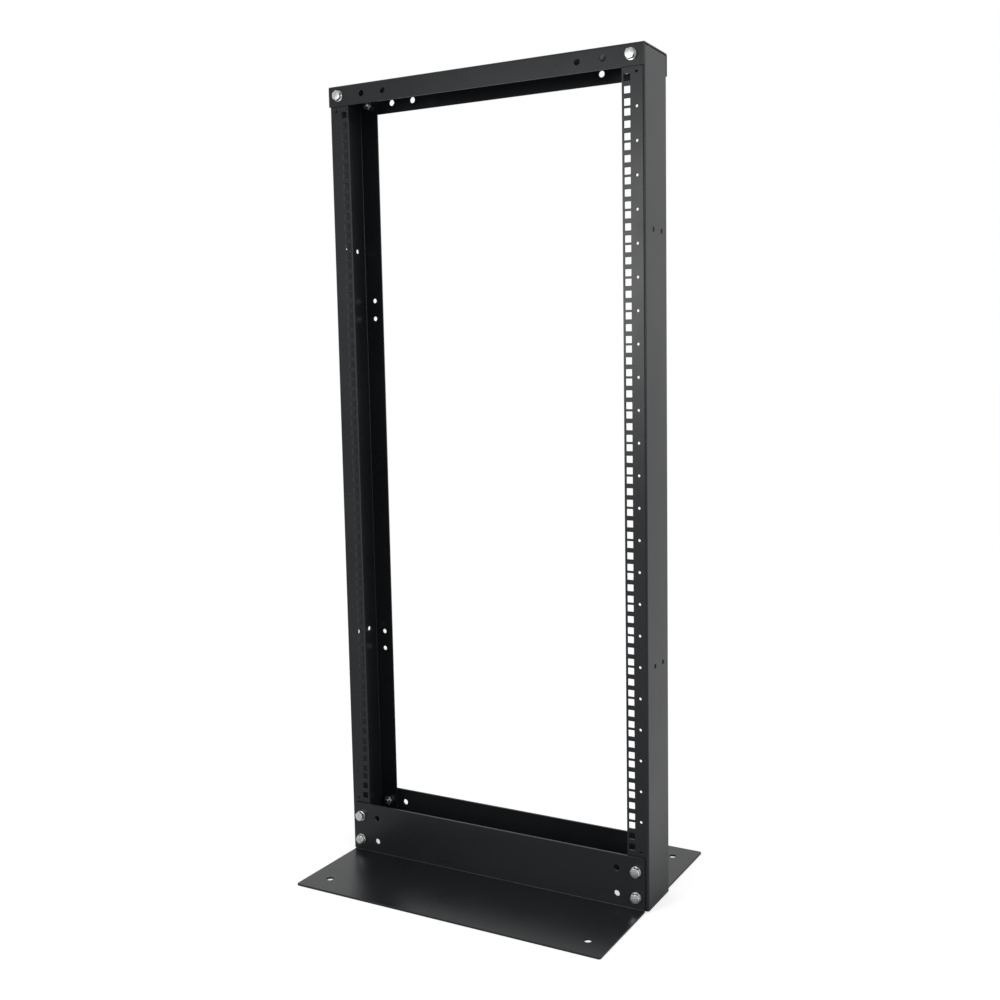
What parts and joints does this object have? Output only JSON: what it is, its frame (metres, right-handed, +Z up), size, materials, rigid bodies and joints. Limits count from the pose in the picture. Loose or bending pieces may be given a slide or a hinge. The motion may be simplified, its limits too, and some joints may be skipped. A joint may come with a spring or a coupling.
{
  "type": "two post open frame rack",
  "caption": "Free-standing open rack of two punched channel posts for 19 inch equipment, with a folded top channel and a floor angle in front and behind.",
  "frame": {"origin": "on the floor, under the middle of the two posts", "axes": "+X to the right along the rack as seen from the front, +Y from front to rear, +Z up; the square holes are in the -Y faces"},
  "size_m": [0.516, 0.369, 1.19],
  "materials": {
    "black_powder_coat": "semi-gloss black powder coat",
    "zinc_plated_steel": "bright zinc plate"
  },
  "bodies": {
    "root": {"post_left": "black_powder_coat", "post_right": "black_powder_coat", "top_channel": "black_powder_coat", "foot_front": "black_powder_coat", "foot_rear": "black_powder_coat", "bolt_top_front_left": "zinc_plated_steel", "bolt_top_front_right": "zinc_plated_steel", "bolt_top_rear_left": "zinc_plated_steel", "bolt_top_rear_right": "zinc_plated_steel", "bolt_foot_front_left_lower": "zinc_plated_steel", "bolt_foot_front_left_upper": "zinc_plated_steel", "bolt_foot_front_right_lower": "zinc_plated_steel", "bolt_foot_front_right_upper": "zinc_plated_steel", "bolt_foot_rear_left_lower": "zinc_plated_steel", "bolt_foot_rear_left_upper": "zinc_plated_steel", "bolt_foot_rear_right_lower": "zinc_plated_steel", "bolt_foot_rear_right_upper": "zinc_plated_steel", "washer_top_front_left": "zinc_plated_steel", "washer_top_front_right": "zinc_plated_steel", "washer_top_rear_left": "zinc_plated_steel", "washer_top_rear_right": "zinc_plated_steel", "washer_foot_front_left_lower": "zinc_plated_steel", "washer_foot_front_left_upper": "zinc_plated_steel", "washer_foot_front_right_lower": "zinc_plated_steel", "washer_foot_front_right_upper": "zinc_plated_steel", "washer_foot_rear_left_lower": "zinc_plated_steel", "washer_foot_rear_left_upper": "zinc_plated_steel", "washer_foot_rear_right_lower": "zinc_plated_steel", "washer_foot_rear_right_upper": "zinc_plated_steel", "nut_top_front_left": "zinc_plated_steel", "nut_top_front_right": "zinc_plated_steel", "nut_top_rear_left": "zinc_plated_steel", "nut_top_rear_right": "zinc_plated_steel", "nut_foot_front_left_lower": "zinc_plated_steel", "nut_foot_front_left_upper": "zinc_plated_steel", "nut_foot_front_right_lower": "zinc_plated_steel", "nut_foot_front_right_upper": "zinc_plated_steel", "nut_foot_rear_left_lower": "zinc_plated_steel", "nut_foot_rear_left_upper": "zinc_plated_steel", "nut_foot_rear_right_lower": "zinc_plated_steel", "nut_foot_rear_right_upper": "zinc_plated_steel"}
  },
  "joints": []
}
